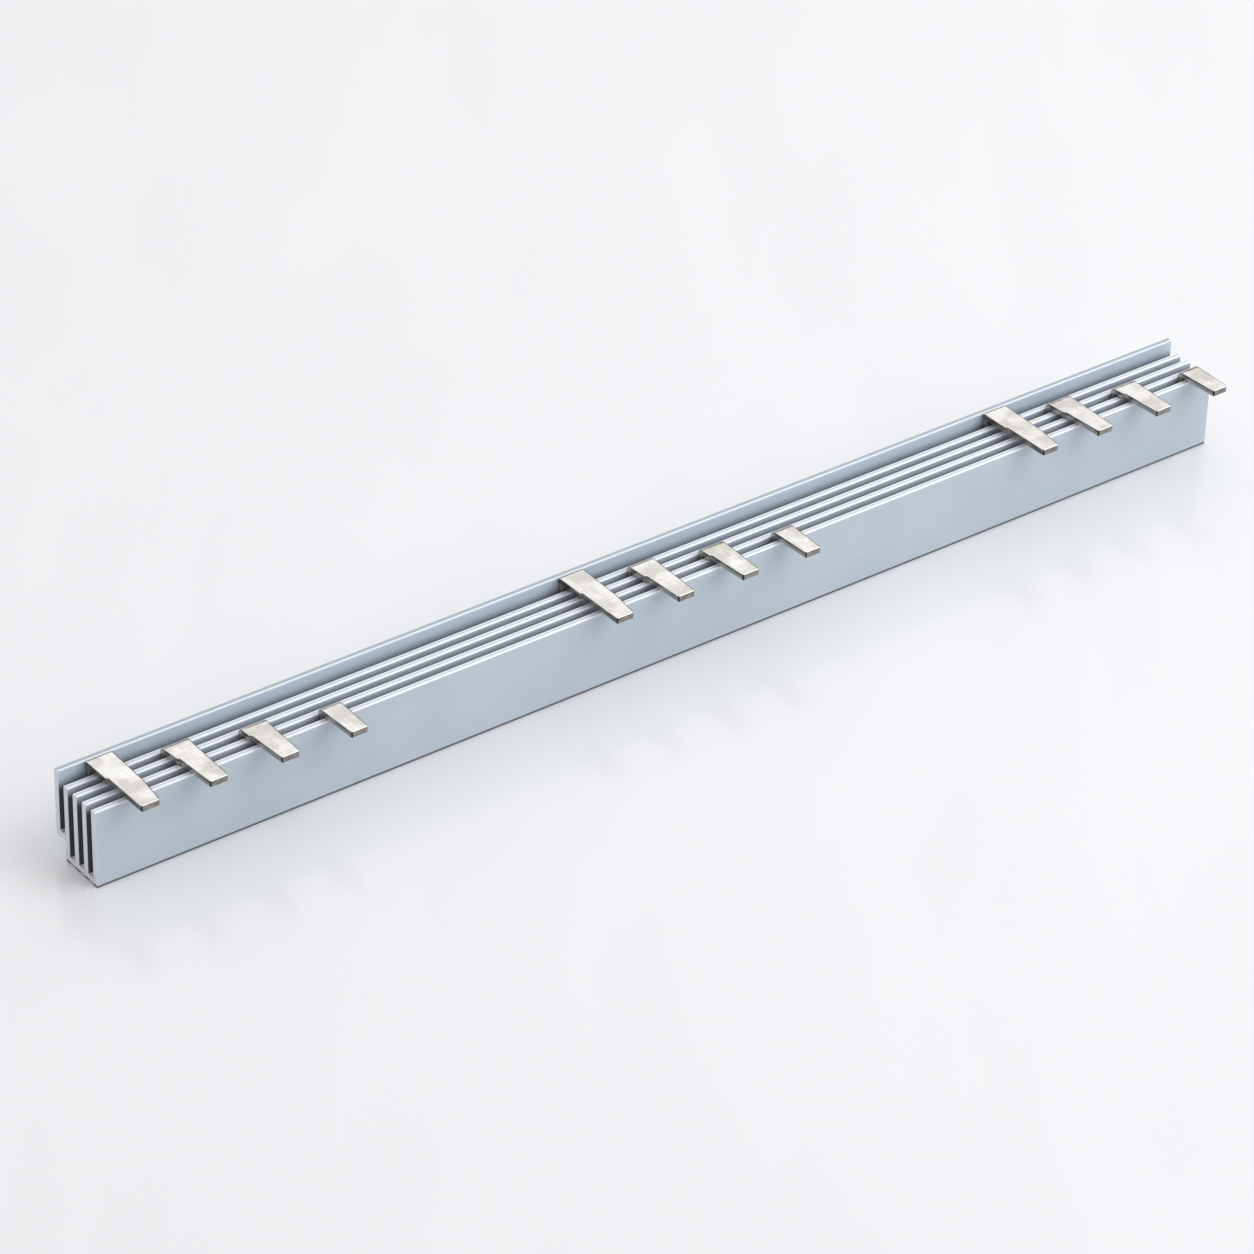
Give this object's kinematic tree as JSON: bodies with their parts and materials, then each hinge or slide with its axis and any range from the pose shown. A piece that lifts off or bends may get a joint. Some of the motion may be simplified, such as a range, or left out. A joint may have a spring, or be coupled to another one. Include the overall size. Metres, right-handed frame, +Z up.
{
  "type": "comb busbar",
  "caption": "Straight comb busbar: channelled insulating profile holding plated comb bars, each with bent, tapered tongues that reach out over the front wall in repeating groups.",
  "frame": {"origin": "middle of the front wall's foot, on the plane the profile stands on", "axes": "+X along the profile, from the tall group's first tongue to the last; +Y from the front wall to the back wall; +Z up"},
  "size_m": [0.325, 0.0255, 0.023],
  "materials": {
    "profile_plastic": "satin extruded surface",
    "tinned_copper": "satin tin plating, faintly clouded"
  },
  "bodies": {
    "root": {"insulating_profile": "profile_plastic", "busbar_l1": "tinned_copper", "busbar_l2": "tinned_copper", "busbar_l3": "tinned_copper", "busbar_n": "tinned_copper"}
  },
  "joints": []
}
